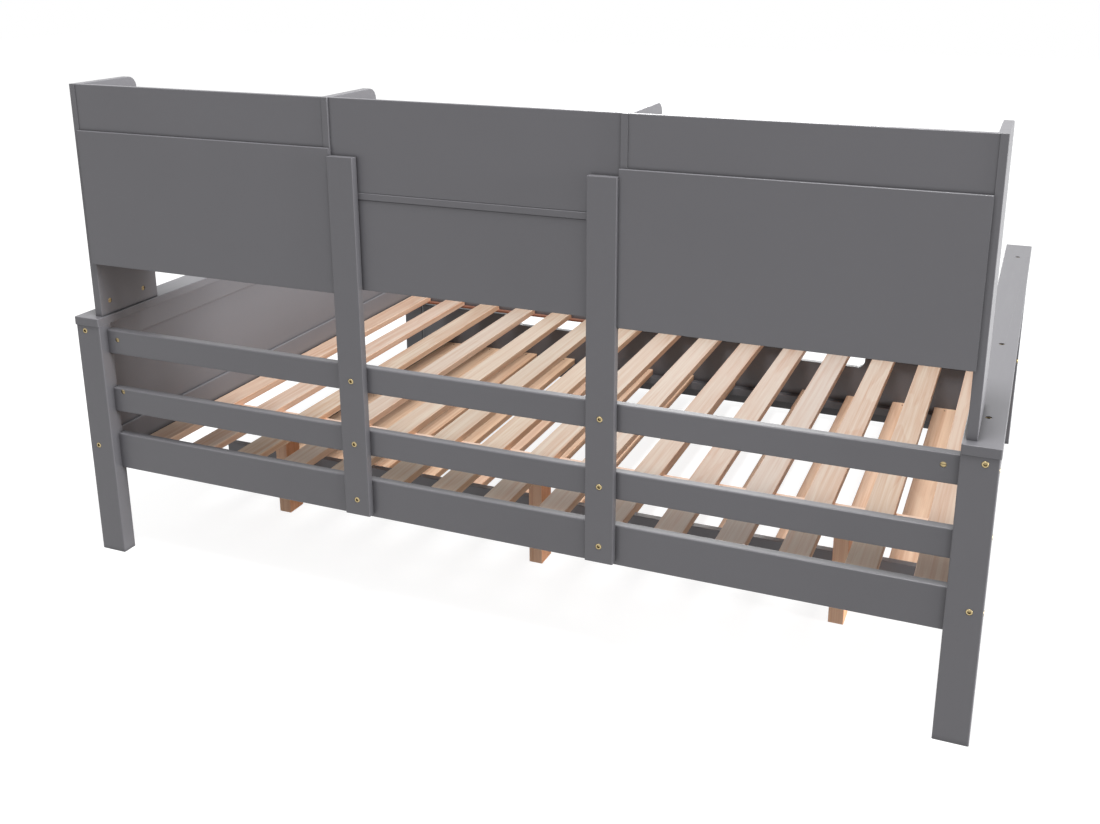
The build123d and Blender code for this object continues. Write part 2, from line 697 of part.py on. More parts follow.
# Bolts through the posts: along Y into the end rails, along X into the side rails
rear_heights = list(side_bolt_heights.values())
with BuildPart() as frame_bolts:
    seat_y = frame_width / 2 - head_sink
    with Locations(*[
        lengthways(side * end_centre_x, toward * seat_y, height, toward)
        for side in ends.values() for toward in (-1, 1) for height in end_bolt_heights
    ]):
        add(socket_bolt(end_bolt_length))
    seat_x = frame_length / 2 - head_sink
    with Locations(*[
        sideways(side * seat_x, toward * rail_centre_y, height, side)
        for side in ends.values()
        for toward, heights in ((1, rear_heights), (-1, [side_bolt_heights["lower"]]))
        for height in heights
    ]):
        add(socket_bolt(side_bolt_length))
save(frame_bolts, "frame_bolts")

with BuildPart() as batten_bolts:
    seat_y = rail_outer_y + batten_thickness - head_sink
    with Locations(*[
        lengthways(side * batten_centre, seat_y, (low + high) / 2, 1)
        for side in ends.values() for low, high in rail_spans.values()
    ]):
        add(socket_bolt(batten_thickness - head_sink + batten_bolt_bite))
save(batten_bolts, "batten_bolts")

with BuildPart() as cap_bolts:
    with Locations(*[
        upright(side * cap_bolt_x, y, cap_top - cap_bolt_sink) for side in ends.values() for y in cap_bolt_ys
    ]):
        add(socket_bolt(cap_thickness - cap_bolt_sink + cap_bolt_bite))
save(cap_bolts, "cap_bolts")

with BuildPart() as bookcase_bolts:
    with Locations(*[
        upright(side * (side_inner_x + side_thickness / 2), y, post_height, -1)
        for side in ends.values() for y in bookcase_bolt_places
    ]):
        add(socket_bolt(cap_thickness + bookcase_nut_rise + nut_radius + bolt_tip))
save(bookcase_bolts, "bookcase_bolts")

with BuildPart() as beam_bolts:
    with Locations(*[
        lengthways(leg_x, leg_front_y + leg_depth - head_sink, leg_bolt_height, 1) for leg_x in leg_places
    ]):
        add(socket_bolt(leg_depth - head_sink + nut_distance + nut_radius + bolt_tip))
    seat_x = end_face_x + end_rail_thickness - head_sink
    with Locations(*[
        sideways(side * seat_x, beam_centre_y, leg_bolt_height, side) for side in ends.values()
    ]):
        add(socket_bolt(end_rail_thickness - head_sink + nut_distance + nut_radius + bolt_tip))
save(beam_bolts, "beam_bolts")

# Barrel nuts: a nut lies along its plane's axis and its cross bore takes the bolt
def barrel_nut(cross_axis):
    """A barrel nut that points down from its slotted face at the origin."""
    with BuildPart() as nut:
        Cylinder(nut_radius, nut_length, align=(Align.CENTER, Align.CENTER, Align.MAX))
        with BuildSketch():
            Rectangle(2 * nut_radius, nut_slot_width)
        extrude(amount=-nut_slot_depth, mode=Mode.SUBTRACT)
        middle = (0, 0, -nut_length / 2)
        with Locations(Plane(origin=middle, z_dir=cross_axis)):
            Cylinder(bolt_radius + thread_clearance, 2 * nut_radius, mode=Mode.SUBTRACT)
    return nut.part


nut_across = barrel_nut((1, 0, 0))
nut_along = barrel_nut((0, 1, 0))
rail_nut_y = rail_centre_y + nut_length / 2
inner_nut_y = rail_centre_y - nut_length / 2
with BuildPart() as barrel_nuts:
    for side in ends.values():
        nut_x = side * (post_inner_x - nut_distance)
        side_panel_nut = side_inner_x + side_thickness / 2 - nut_length / 2
        with Locations(
            lengthways(nut_x, rail_nut_y, side_bolt_heights["upper"], 1),
            lengthways(nut_x, inner_nut_y, side_bolt_heights["lower"], -1),
            lengthways(nut_x, -inner_nut_y, side_bolt_heights["lower"], 1),
            lengthways(nut_x, rail_centre_y + side * nut_length / 2, side_bolt_heights["middle"], side),
            upright(side * (end_face_x - nut_distance), beam_centre_y, leg_bolt_height - nut_length / 2, -1),
        ):
            add(nut_across)
        with Locations(*[
            sideways(side * (end_centre_x - nut_length / 2), toward * (post_inner_y - end_nut_distance),
                     height, -side)
            for toward in (-1, 1) for height in end_bolt_heights
        ]):
            add(nut_across)
        with Locations(*[
            sideways(side * side_panel_nut, y, cap_top + bookcase_nut_rise, -side)
            for y in bookcase_bolt_places
        ]):
            add(nut_along)
    with Locations(*[
        upright(leg_x, leg_front_y - nut_distance, leg_bolt_height - nut_length / 2, -1)
        for leg_x in leg_places
    ]):
        add(nut_along)
save(barrel_nuts, "barrel_nuts")
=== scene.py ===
import bpy
import math
from mathutils import Matrix, Vector


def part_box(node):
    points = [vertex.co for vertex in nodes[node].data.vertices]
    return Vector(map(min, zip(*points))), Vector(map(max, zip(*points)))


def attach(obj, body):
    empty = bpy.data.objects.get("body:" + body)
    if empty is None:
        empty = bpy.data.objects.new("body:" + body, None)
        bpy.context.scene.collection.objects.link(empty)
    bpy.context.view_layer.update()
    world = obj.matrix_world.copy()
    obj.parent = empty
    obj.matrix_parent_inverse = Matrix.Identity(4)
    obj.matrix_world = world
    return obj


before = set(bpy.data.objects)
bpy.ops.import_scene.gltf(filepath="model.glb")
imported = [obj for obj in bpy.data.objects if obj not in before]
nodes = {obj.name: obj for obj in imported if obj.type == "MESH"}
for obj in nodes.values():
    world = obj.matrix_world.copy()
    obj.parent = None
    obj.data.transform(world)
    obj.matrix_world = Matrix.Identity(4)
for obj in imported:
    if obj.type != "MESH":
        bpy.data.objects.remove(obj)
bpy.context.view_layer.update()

# Camera
# It stands behind the daybed, off its -X end and above the bookcase, turned a
# little towards the far end, with the lens of a normal view.
camera_place = Vector((-1.0900, 2.9505, 1.4930))
camera_turn = 0.38859
camera_tilt = 0.28994
camera_roll = -0.00064
photo_width = 1100
photo_height = 824
focal_pixels = 1198.49
axis_pixel = (562.42, 302.65)
sensor_width = 36.0
farthest_seen = 60.0

camera_data = bpy.data.cameras.new("camera")
camera_data.sensor_width = sensor_width
camera_data.lens = focal_pixels * sensor_width / photo_width
camera_data.shift_x = (photo_width / 2 - axis_pixel[0]) / photo_width
camera_data.shift_y = (axis_pixel[1] - photo_height / 2) / photo_width
camera_data.clip_end = farthest_seen
camera = bpy.data.objects.new("camera", camera_data)
bpy.context.scene.collection.objects.link(camera)
look = Vector((
    math.sin(camera_turn) * math.cos(camera_tilt),
    -math.cos(camera_turn) * math.cos(camera_tilt),
    -math.sin(camera_tilt),
))
level = Vector((-math.cos(camera_turn), -math.sin(camera_turn), 0.0))
upward = level.cross(look)
right = math.cos(camera_roll) * level + math.sin(camera_roll) * upward
upward = math.cos(camera_roll) * upward - math.sin(camera_roll) * level
camera.matrix_world = Matrix((
    (right.x, upward.x, -look.x, camera_place.x),
    (right.y, upward.y, -look.y, camera_place.y),
    (right.z, upward.z, -look.z, camera_place.z),
    (0.0, 0.0, 0.0, 1.0),
))
bpy.context.scene.camera = camera
bpy.context.scene.view_settings.view_transform = "Standard"

# Studio floor and sky
# A pale sweep that the lens sees as plain white with a faint shadow. It sends
# little light back up, so undersides stay dark.
floor_size = 30.0
floor_drop = 0.0006
floor_tone = 0.27
floor_glow = 0.88
sky_strength = 0.50


def shader_tree(owner):
    """The node tree of a material or a world, emptied."""
    owner.use_nodes = True
    tree = owner.node_tree
    tree.nodes.clear()
    return tree


def add_node(tree, kind, inputs=None, **settings):
    """Adds a node, sets its options, and sets or links its inputs by name or number."""
    node = tree.nodes.new(kind)
    for name, value in settings.items():
        setattr(node, name, value)
    for name, value in (inputs or {}).items():
        if isinstance(value, bpy.types.NodeSocket):
            tree.links.new(value, node.inputs[name])
        else:
            node.inputs[name].default_value = value
    return node


def mathed(tree, operation, first, second=0.5, third=0.5):
    """The result of one Math node."""
    inputs = {0: first, 1: second, 2: third}
    return add_node(tree, "ShaderNodeMath", inputs, operation=operation).outputs[0]


def lens_ray(tree):
    """1 for rays that the lens, a mirror or a glass sees, else 0."""
    path = add_node(tree, "ShaderNodeLightPath").outputs
    seen = mathed(tree, "MAXIMUM", path["Is Camera Ray"], path["Is Glossy Ray"])
    return mathed(tree, "MAXIMUM", seen, path["Is Transmission Ray"])


def even_gray(tone):
    """A colour whose three channels are the same."""
    return (tone, tone, tone, 1.0)


white = even_gray(1.0)
sky = bpy.data.worlds.new("sky")
bpy.context.scene.world = sky
tree = shader_tree(sky)
strength = add_node(tree, "ShaderNodeMix", {0: lens_ray(tree), 2: sky_strength, 3: 1.0},
                    data_type="FLOAT")
light = add_node(tree, "ShaderNodeBackground", {"Color": white, "Strength": strength.outputs[0]})
add_node(tree, "ShaderNodeOutputWorld", {"Surface": light.outputs[0]})

half = floor_size / 2
corners = [(x * half, y * half, -floor_drop) for x, y in ((-1, -1), (1, -1), (1, 1), (-1, 1))]
floor_mesh = bpy.data.meshes.new("floor")
floor_mesh.from_pydata(corners, [], [(0, 1, 2, 3)])
floor = bpy.data.objects.new("floor", floor_mesh)
bpy.context.scene.collection.objects.link(floor)
floor_paint = bpy.data.materials.new("floor_paint")
tree = shader_tree(floor_paint)
glow = mathed(tree, "MULTIPLY", lens_ray(tree), floor_glow)
cloth = add_node(tree, "ShaderNodeBsdfDiffuse", {"Color": even_gray(floor_tone)})
shine = add_node(tree, "ShaderNodeEmission", {"Color": white, "Strength": glow})
both = add_node(tree, "ShaderNodeAddShader", {0: cloth.outputs[0], 1: shine.outputs[0]})
add_node(tree, "ShaderNodeOutputMaterial", {"Surface": both.outputs[0]})
floor_mesh.materials.append(floor_paint)


# Lamps
# A soft box hangs high over the bookcase's side of the bed and a second one stands
# far off the -X end, so tops are brightest, -X faces next, rear faces darkest. A
# weaker third one fills the front.
def soft_box(name, place, aim, size, power):
    """A square area lamp that points from one place to another."""
    lamp = bpy.data.lights.new(name, "AREA")
    lamp.shape = "SQUARE"
    lamp.size = size
    lamp.energy = power
    holder = bpy.data.objects.new(name, lamp)
    holder.location = place
    holder.rotation_euler = (Vector(aim) - Vector(place)).to_track_quat("-Z", "Y").to_euler()
    bpy.context.scene.collection.objects.link(holder)


middle_of_bed = (0.0, 0.0, 0.4)
rear_of_bed = (0.0, 0.6, 0.4)
soft_box("overhead", place=(-0.5, 1.5, 6.0), aim=middle_of_bed, size=1.6, power=325.0)
soft_box("from_the_end", place=(-14.0, 0.9, 2.6), aim=rear_of_bed, size=3.0, power=2150.0)
soft_box("front_fill", place=(2.0, -9.0, 3.2), aim=middle_of_bed, size=3.0, power=190.0)

# Gray paint
# Every post, rail, board and cap is pine or fibreboard under a sprayed satin gray
# paint with a very fine orange peel. A highlight is painted lighter along rounded
# edges, and shade is painted darker where pieces meet.
gray = (0.164, 0.161, 0.174, 1.0)
mean_shade = 0.95
cloud_scale = 3.0
cloud_strength = 0.10
peel_scale = 620.0
peel_relief = 0.5
fibre_scale = 60.0
highlight_fibre_share = 0.8
least_highlight = 0.1
fibre_roughness = 0.12
least_roughness = 0.31
edge_gain = 5.0
edge_highlight_strength = 0.45
painted_shade_curve = 1.3
painted_shade_darkening = 0.64
relief_strength = 0.14
relief_height = 0.0006


def group_tree(name, inputs, outputs):
    """A shader node group with named sockets; returns its tree, input and output nodes."""
    tree = bpy.data.node_groups.new(name, "ShaderNodeTree")
    for direction, sockets in (("INPUT", inputs), ("OUTPUT", outputs)):
        for label, kind in sockets:
            tree.interface.new_socket(label, in_out=direction, socket_type=kind)
    return tree, tree.nodes.new("NodeGroupInput"), tree.nodes.new("NodeGroupOutput")


def stretched(tree, vector, scale):
    """The vector scaled differently along each axis."""
    return add_node(tree, "ShaderNodeVectorMath", {0: vector, 1: scale},
                    operation="MULTIPLY").outputs[0]


def noise(tree, vector, scale, detail=2.0, roughness=0.5):
    """The value of a Noise texture."""
    inputs = {"Vector": vector, "Scale": scale, "Detail": detail, "Roughness": roughness}
    return add_node(tree, "ShaderNodeTexNoise", inputs).outputs["Fac"]


def mixed(tree, factor, first, second, blend="MIX"):
    """The colour from a Mix node."""
    return add_node(tree, "ShaderNodeMix", {0: factor, 6: first, 7: second},
                    data_type="RGBA", blend_type=blend).outputs[2]


def tinted(tree, colour, tint):
    """One colour multiplied by another."""
    return mixed(tree, 1.0, colour, tint, "MULTIPLY")


def openness(tree, distance, samples):
    """1 on an open face, less where something stands within the distance."""
    return add_node(tree, "ShaderNodeAmbientOcclusion", {"Distance": distance},
                    samples=samples).outputs["AO"]


tree, taken, given = group_tree(
    "sprayed_paint",
    [("Vector", "NodeSocketVector"), ("Colour", "NodeSocketColor"), ("Grain", "NodeSocketFloat"),
     ("Edge radius", "NodeSocketFloat"), ("Shade reach", "NodeSocketFloat")],
    [("Colour", "NodeSocketColor"), ("Roughness", "NodeSocketFloat"),
     ("Normal", "NodeSocketVector")])
place = taken.outputs["Vector"]
cloud = noise(tree, place, cloud_scale, 3.0)
peel = noise(tree, place, peel_scale, 1.0)
fibre = noise(tree, place, fibre_scale, 4.0)
rounded = add_node(tree, "ShaderNodeBevel", {"Radius": taken.outputs["Edge radius"]}, samples=4)
flat = tree.nodes.new("ShaderNodeNewGeometry")
match = add_node(tree, "ShaderNodeVectorMath", {0: rounded.outputs[0], 1: flat.outputs["Normal"]},
                 operation="DOT_PRODUCT").outputs["Value"]
edge = mathed(tree, "MULTIPLY_ADD", match, -edge_gain, edge_gain)
edge = add_node(tree, "ShaderNodeClamp", {0: edge}).outputs[0]
# Painted highlight: rounded edges are coloured lighter, streaked by the fibre noise.
edge_highlight = mathed(tree, "MULTIPLY", edge, mathed(tree, "MULTIPLY_ADD", fibre, highlight_fibre_share, least_highlight))
shade = mathed(tree, "MULTIPLY_ADD", cloud, cloud_strength, mean_shade)
shade = mathed(tree, "MULTIPLY_ADD", edge_highlight, edge_highlight_strength, shade)
# Painted shade: the colour darkens where another piece stands within the reach.
painted_shade = mathed(tree, "POWER", openness(tree, taken.outputs["Shade reach"], 6), painted_shade_curve)
painted_shade = mathed(tree, "MULTIPLY_ADD", painted_shade, painted_shade_darkening, 1.0 - painted_shade_darkening)
shade = mathed(tree, "MULTIPLY", shade, painted_shade)
shade = add_node(tree, "ShaderNodeCombineColor", {0: shade, 1: shade, 2: shade}).outputs[0]
tree.links.new(tinted(tree, taken.outputs["Colour"], shade), given.inputs["Colour"])
roughness = mathed(tree, "MULTIPLY_ADD", fibre, fibre_roughness, least_roughness)
tree.links.new(roughness, given.inputs["Roughness"])
grain = mathed(tree, "MULTIPLY", fibre, taken.outputs["Grain"])
height = mathed(tree, "MULTIPLY_ADD", peel, peel_relief, grain)
relief = add_node(tree, "ShaderNodeBump", {
    "Strength": relief_strength, "Distance": relief_height, "Height": height,
    "Normal": rounded.outputs[0]})
tree.links.new(relief.outputs[0], given.inputs["Normal"])


def gray_paint(name, grain_scale, grain, edge_radius, shade_reach):
    """Satin gray paint; the wood's grain shows through it along the long axis."""
    paint = bpy.data.materials.new(name)
    tree = shader_tree(paint)
    place = add_node(tree, "ShaderNodeTexCoord").outputs["Object"]
    coat = add_node(tree, "ShaderNodeGroup", {
        "Vector": stretched(tree, place, grain_scale), "Colour": gray, "Grain": grain,
        "Edge radius": edge_radius, "Shade reach": shade_reach},
        node_tree=bpy.data.node_groups["sprayed_paint"])
    skin = add_node(tree, "ShaderNodeBsdfPrincipled", {
        "Base Color": coat.outputs["Colour"], "Roughness": coat.outputs["Roughness"],
        "Normal": coat.outputs["Normal"], "Specular IOR Level": 0.5})
    add_node(tree, "ShaderNodeOutputMaterial", {"Surface": skin.outputs[0]})
    return paint


def dress(material, *names):
    """Gives CAD nodes a better material."""
    for name in names:
        for holder in nodes[name].material_slots:
            holder.material = material


stretch = 0.12
along_x = (stretch, 1.0, 1.0)
along_y = (1.0, stretch, 1.0)
upright = (1.0, 1.0, stretch)
no_stretch = (1.0, 1.0, 1.0)
grain_shown = 0.5
no_grain = 0.0
wood_edge = 0.0016
board_edge = 0.0009
strip_edge = 0.0006
wood_shade_reach = 0.014
board_shade_reach = 0.008
# The two low pieces under the deck get painted shade that reaches far, so they stay dark below it.
strip_shade = 0.12
panel_shade = 0.25
paint_along_x = gray_paint("gray_paint_along_x", along_x, grain_shown, wood_edge, wood_shade_reach)
paint_along_y = gray_paint("gray_paint_along_y", along_y, grain_shown, wood_edge, wood_shade_reach)
paint_upright = gray_paint("gray_paint_upright", upright, grain_shown, wood_edge, wood_shade_reach)
paint_board = gray_paint("gray_paint_board", no_stretch, no_grain, board_edge, board_shade_reach)
paint_low_strip = gray_paint("gray_paint_low_strip", along_x, grain_shown, strip_edge, strip_shade)
paint_low_panel = gray_paint("gray_paint_low_panel", along_x, grain_shown, wood_edge, panel_shade)
for side in ("left", "right"):
    dress(paint_upright, f"front_post_{side}", f"rear_post_{side}", f"batten_{side}")
    dress(paint_along_y, f"end_cap_{side}", f"end_top_rail_{side}", f"end_bottom_rail_{side}",
          f"trundle_side_{side}")
    dress(paint_board, f"end_panel_{side}", f"bookcase_side_{side}", f"bookcase_divider_{side}",
          f"top_strip_{side}")
dress(paint_along_x, "rear_upper_rail", "rear_middle_rail", "rear_lower_rail", "front_side_rail",
      "trundle_rear_board")
dress(paint_low_panel, "trundle_front_panel")
dress(paint_low_strip, "trundle_ledgers")
for bay in ("left", "middle", "right"):
    dress(paint_board, f"shelf_{bay}", f"cubby_floor_{bay}", f"back_panel_{bay}")
dress(paint_board, "top_panel_middle")

# Pine slats
# The decks are planed pine boards, each cut from another piece of the log, so
# that rings, streaks and tone differ from slat to slat. Side faces get a painted
# light tint, and wood close to other pieces is painted warmer and lighter as bounced light.
log_spread = (9.0, 9.0, 9.0)
heart_spread = 0.10
heart_least_depth = 0.03
rings_per_metre = 210.0
ring_waver = 0.034
waver_scale = (9.0, 1.3, 9.0)
late_wood_at = 0.86
early_wood = 0.15
late_wood = 0.85
next_year = 0.05
heart_curve = 2.5
heart_ring_strength = 0.58
least_ring_strength = 0.22
heart_darkening = 0.18
streak_scale = (105.0, 1.7, 105.0)
streak_strength = 2.5
streak_base = -1.09
pore_scale = (700.0, 9.0, 700.0)
pore_strength = 0.36
pore_base = -0.19
pore_relief = 0.6
board_tone_spread = 0.10
darkest_board = 0.93
board_hue_spread = 0.08
yellowest_board = 0.97
end_face_darkening = -0.28
painted_bounce_reach = 0.45
painted_bounce_tint = (1.36, 1.17, 1.02, 1.0)
pale_roughness = 0.62
deep_roughness_change = -0.10

tree, taken, given = group_tree(
    "pine",
    [("Vector", "NodeSocketVector"), ("Normal", "NodeSocketVector"), ("First", "NodeSocketFloat"),
     ("Pitch", "NodeSocketFloat"), ("Seed", "NodeSocketFloat"), ("Pale", "NodeSocketColor"),
     ("Deep", "NodeSocketColor"), ("Side light tint", "NodeSocketColor")],
    [("Colour", "NodeSocketColor"), ("Roughness", "NodeSocketFloat"),
     ("Height", "NodeSocketFloat")])
parts = add_node(tree, "ShaderNodeSeparateXYZ", {0: taken.outputs["Vector"]})
from_first = mathed(tree, "SUBTRACT", parts.outputs["X"], taken.outputs["First"])
number = mathed(tree, "ROUND", mathed(tree, "DIVIDE", from_first, taken.outputs["Pitch"]))
keyed = mathed(tree, "ADD", number, taken.outputs["Seed"])
draw = add_node(tree, "ShaderNodeTexWhiteNoise", {"W": keyed}, noise_dimensions="1D")
draw = draw.outputs["Color"]
chances = add_node(tree, "ShaderNodeSeparateColor", {0: draw}).outputs
centre = mathed(tree, "MULTIPLY", number, taken.outputs["Pitch"])
across = mathed(tree, "SUBTRACT", from_first, centre)
off_heart = mathed(tree, "MULTIPLY_ADD", chances[0], heart_spread, -heart_spread / 2)
across = mathed(tree, "ADD", across, off_heart)
depth = mathed(tree, "MULTIPLY_ADD", chances[1], heart_spread, heart_least_depth)
depth = mathed(tree, "ADD", parts.outputs["Z"], depth)
moved = add_node(tree, "ShaderNodeVectorMath",
                 {0: taken.outputs["Vector"], 1: stretched(tree, draw, log_spread)},
                 operation="ADD").outputs[0]
waver = noise(tree, stretched(tree, moved, waver_scale), 1.0, 3.0)
across = mathed(tree, "MULTIPLY", across, across)
depth = mathed(tree, "MULTIPLY", depth, depth)
ring = mathed(tree, "SQRT", mathed(tree, "ADD", across, depth))
ring = mathed(tree, "ADD", ring, mathed(tree, "MULTIPLY", waver, ring_waver))
band = mathed(tree, "FRACT", mathed(tree, "MULTIPLY", ring, rings_per_metre))
late = add_node(tree, "ShaderNodeValToRGB", {0: band})
late.color_ramp.elements[0].position = 0.0
late.color_ramp.elements[0].color = even_gray(early_wood)
late.color_ramp.elements[1].position = 1.0
late.color_ramp.elements[1].color = even_gray(next_year)
darkest = late.color_ramp.elements.new(late_wood_at)
darkest.color = even_gray(late_wood)
streak = noise(tree, stretched(tree, moved, streak_scale), 1.0, 4.0, 0.62)
pore = noise(tree, stretched(tree, moved, pore_scale), 1.0, 2.0)
heart = mathed(tree, "POWER", chances[1], heart_curve)
ring_strength = mathed(tree, "MULTIPLY_ADD", heart, heart_ring_strength, least_ring_strength)
amount = mathed(tree, "MULTIPLY", late.outputs[0], ring_strength)
streaks = mathed(tree, "MULTIPLY_ADD", streak, streak_strength, streak_base)
amount = mathed(tree, "ADD", amount, streaks)
pores = mathed(tree, "MULTIPLY_ADD", pore, pore_strength, pore_base)
amount = mathed(tree, "ADD", amount, pores)
amount = mathed(tree, "MULTIPLY_ADD", heart, heart_darkening, amount)
amount = add_node(tree, "ShaderNodeClamp", {0: amount}).outputs[0]
wood = mixed(tree, amount, taken.outputs["Pale"], taken.outputs["Deep"])
facing = add_node(tree, "ShaderNodeSeparateXYZ", {0: taken.outputs["Normal"]})
end_face = mathed(tree, "ABSOLUTE", facing.outputs["Y"])
edge_face = mathed(tree, "ABSOLUTE", facing.outputs["X"])
end_tone = mathed(tree, "MULTIPLY_ADD", end_face, end_face_darkening, 1.0)
board_tone = mathed(tree, "MULTIPLY_ADD", chances[2], board_tone_spread, darkest_board)
tone = mathed(tree, "MULTIPLY", board_tone, end_tone)
less_yellow = mathed(tree, "MULTIPLY_ADD", chances[0], board_hue_spread, yellowest_board)
blue_tone = mathed(tree, "MULTIPLY", tone, less_yellow)
own_tone = add_node(tree, "ShaderNodeCombineColor", {0: tone, 1: tone, 2: blue_tone}).outputs[0]
wood = tinted(tree, wood, own_tone)
# Painted bounce light: wood near other pieces is coloured warmer and lighter.
painted_bounce = mixed(tree, openness(tree, painted_bounce_reach, 8), painted_bounce_tint, white)
wood = tinted(tree, wood, painted_bounce)
# Painted light and shade on the side faces: they are tinted by the way they face.
side_lit_wood = tinted(tree, wood, taken.outputs["Side light tint"])
tree.links.new(mixed(tree, edge_face, wood, side_lit_wood), given.inputs["Colour"])
roughness = mathed(tree, "MULTIPLY_ADD", amount, deep_roughness_change, pale_roughness)
tree.links.new(roughness, given.inputs["Roughness"])
tree.links.new(mathed(tree, "MULTIPLY_ADD", pore, pore_relief, amount), given.inputs["Height"])


def pine(name, turn, first, pitch, seed, pale, deep, side_light_tint):
    """Planed pine; turn brings the grain to the group's Y axis, and boards repeat along its X."""
    wood = bpy.data.materials.new(name)
    tree = shader_tree(wood)
    where = add_node(tree, "ShaderNodeTexCoord").outputs
    place = add_node(tree, "ShaderNodeMapping", {"Vector": where["Object"], "Rotation": turn})
    facing = add_node(tree, "ShaderNodeMapping", {"Vector": where["Normal"], "Rotation": turn})
    board = add_node(tree, "ShaderNodeGroup", {
        "Vector": place.outputs[0], "Normal": facing.outputs[0], "First": first, "Pitch": pitch,
        "Seed": seed, "Pale": pale, "Deep": deep, "Side light tint": side_light_tint},
        node_tree=bpy.data.node_groups["pine"])
    relief = add_node(tree, "ShaderNodeBump", {
        "Strength": 0.25, "Distance": 0.0005, "Height": board.outputs["Height"]})
    skin = add_node(tree, "ShaderNodeBsdfPrincipled", {
        "Base Color": board.outputs["Colour"], "Roughness": board.outputs["Roughness"],
        "Normal": relief.outputs[0], "Specular IOR Level": 0.3})
    add_node(tree, "ShaderNodeOutputMaterial", {"Surface": skin.outputs[0]})
    return wood


unturned = (0.0, 0.0, 0.0)
slat_width = 0.066
deck_pitch = 0.139
deck_high = Vector(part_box("deck_slats")[1])
deck_first = deck_high.x - slat_width / 2
deck_pine = pine("pine_deck", unturned, deck_first, deck_pitch, seed=3.0,
                 pale=(0.53, 0.443, 0.365, 1.0), deep=(0.42, 0.265, 0.18, 1.0),
                 side_light_tint=(1.25, 1.14, 1.05, 1.0))
dress(deck_pine, "deck_slats")
trundle_pitch = 0.14518
trundle_low, trundle_high = (Vector(corner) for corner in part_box("trundle_slats"))
trundle_first = trundle_high.x - slat_width / 2
trundle_last = trundle_low.x + slat_width / 2
# Painted light: the trundle's pine is paler than the deck's to make up for the deck's shade over it.
trundle_pine = pine("pine_trundle", unturned, trundle_first, trundle_pitch, seed=41.0,
                    pale=(0.60, 0.48, 0.375, 1.0), deep=(0.46, 0.30, 0.205, 1.0),
                    side_light_tint=(1.16, 1.08, 1.0, 1.0))
dress(trundle_pine, "trundle_slats")

# Ledgers, beam and legs
# Rougher pine strips screwed inside the rails, a beam on its side under the
# slats and three legs bolted behind it.
quarter = math.pi / 2
lengthwise = (0.0, 0.0, quarter)
standing = (-quarter, 0.0, 0.0)
one_board = 10.0
strip_pale = (0.70, 0.55, 0.43, 1.0)
strip_deep = (0.56, 0.38, 0.27, 1.0)
# Painted shade: the front ledger's pine is coloured very dark, as it lies in shadow under the slat
# ends.
lath_shade_pale = (0.26, 0.13, 0.095, 1.0)
lath_shade_deep = (0.18, 0.09, 0.065, 1.0)
# Painted light: the legs' pine is coloured paler, since little light reaches them under the deck.
leg_lit_pale = (0.88, 0.66, 0.50, 1.0)
leg_lit_deep = (0.74, 0.48, 0.33, 1.0)
rough_side_shade_tint = (0.95, 0.74, 0.58, 1.0)


def rough_pine(name, turn, seed, pale, deep):
    """Pine for pieces that are one board each, with painted shade darkening the side faces."""
    return pine(name, turn, 0.0, one_board, seed, pale, deep, rough_side_shade_tint)


dress(rough_pine("pine_lengthwise", lengthwise, 77.0, strip_pale, strip_deep),
      "rear_slat_ledger", "support_beam")
dress(rough_pine("pine_lath_painted_shade", lengthwise, 5.0, lath_shade_pale, lath_shade_deep), "front_slat_ledger")
dress(rough_pine("pine_caster_rail", unturned, 91.0, strip_pale, strip_deep), "caster_rails")
dress(rough_pine("pine_leg_painted_light", standing, 13.0, leg_lit_pale, leg_lit_deep),
      "support_leg_left", "support_leg_middle", "support_leg_right")

# Bolts and barrel nuts
# Brass-plated hex-socket bolts pull into barrel nuts; the plating is bright
# on the rims, and shade is painted dark into the sockets.
patch_scale = 260.0
patch_darkening = 0.72
socket_shade_darkening = 0.24
socket_shade_reach = 0.006
socket_shade_curve = 1.6
roughness_spread = 0.22


def darker(colour, share):
    """A colour with its three channels scaled down."""
    return tuple(share * channel for channel in colour[:3]) + (1.0,)


def metal(name, colour, roughness):
    """Plated metal with a faint unevenness and painted shade in its recesses."""
    plate = bpy.data.materials.new(name)
    tree = shader_tree(plate)
    place = add_node(tree, "ShaderNodeTexCoord").outputs["Object"]
    patch = noise(tree, place, patch_scale, 3.0)
    least = roughness - roughness_spread / 2
    rough = mathed(tree, "MULTIPLY_ADD", patch, roughness_spread, least)
    tone = mixed(tree, patch, colour, darker(colour, patch_darkening))
    # Painted shade: the plating darkens in recesses such as the sockets.
    unshaded = mathed(tree, "POWER", openness(tree, socket_shade_reach, 8), socket_shade_curve)
    tone = mixed(tree, unshaded, darker(colour, socket_shade_darkening), tone)
    relief = add_node(tree, "ShaderNodeBump", {"Strength": 0.1, "Distance": 0.0002, "Height": patch})
    skin = add_node(tree, "ShaderNodeBsdfPrincipled", {
        "Base Color": tone, "Roughness": rough, "Metallic": 1.0, "Normal": relief.outputs[0]})
    add_node(tree, "ShaderNodeOutputMaterial", {"Surface": skin.outputs[0]})
    return plate


brass = metal("brass_plating", (0.58, 0.46, 0.25, 1.0), 0.36)
dress(brass, "frame_bolts", "batten_bolts", "bookcase_bolts", "beam_bolts", "barrel_nuts",
      "cap_bolts")

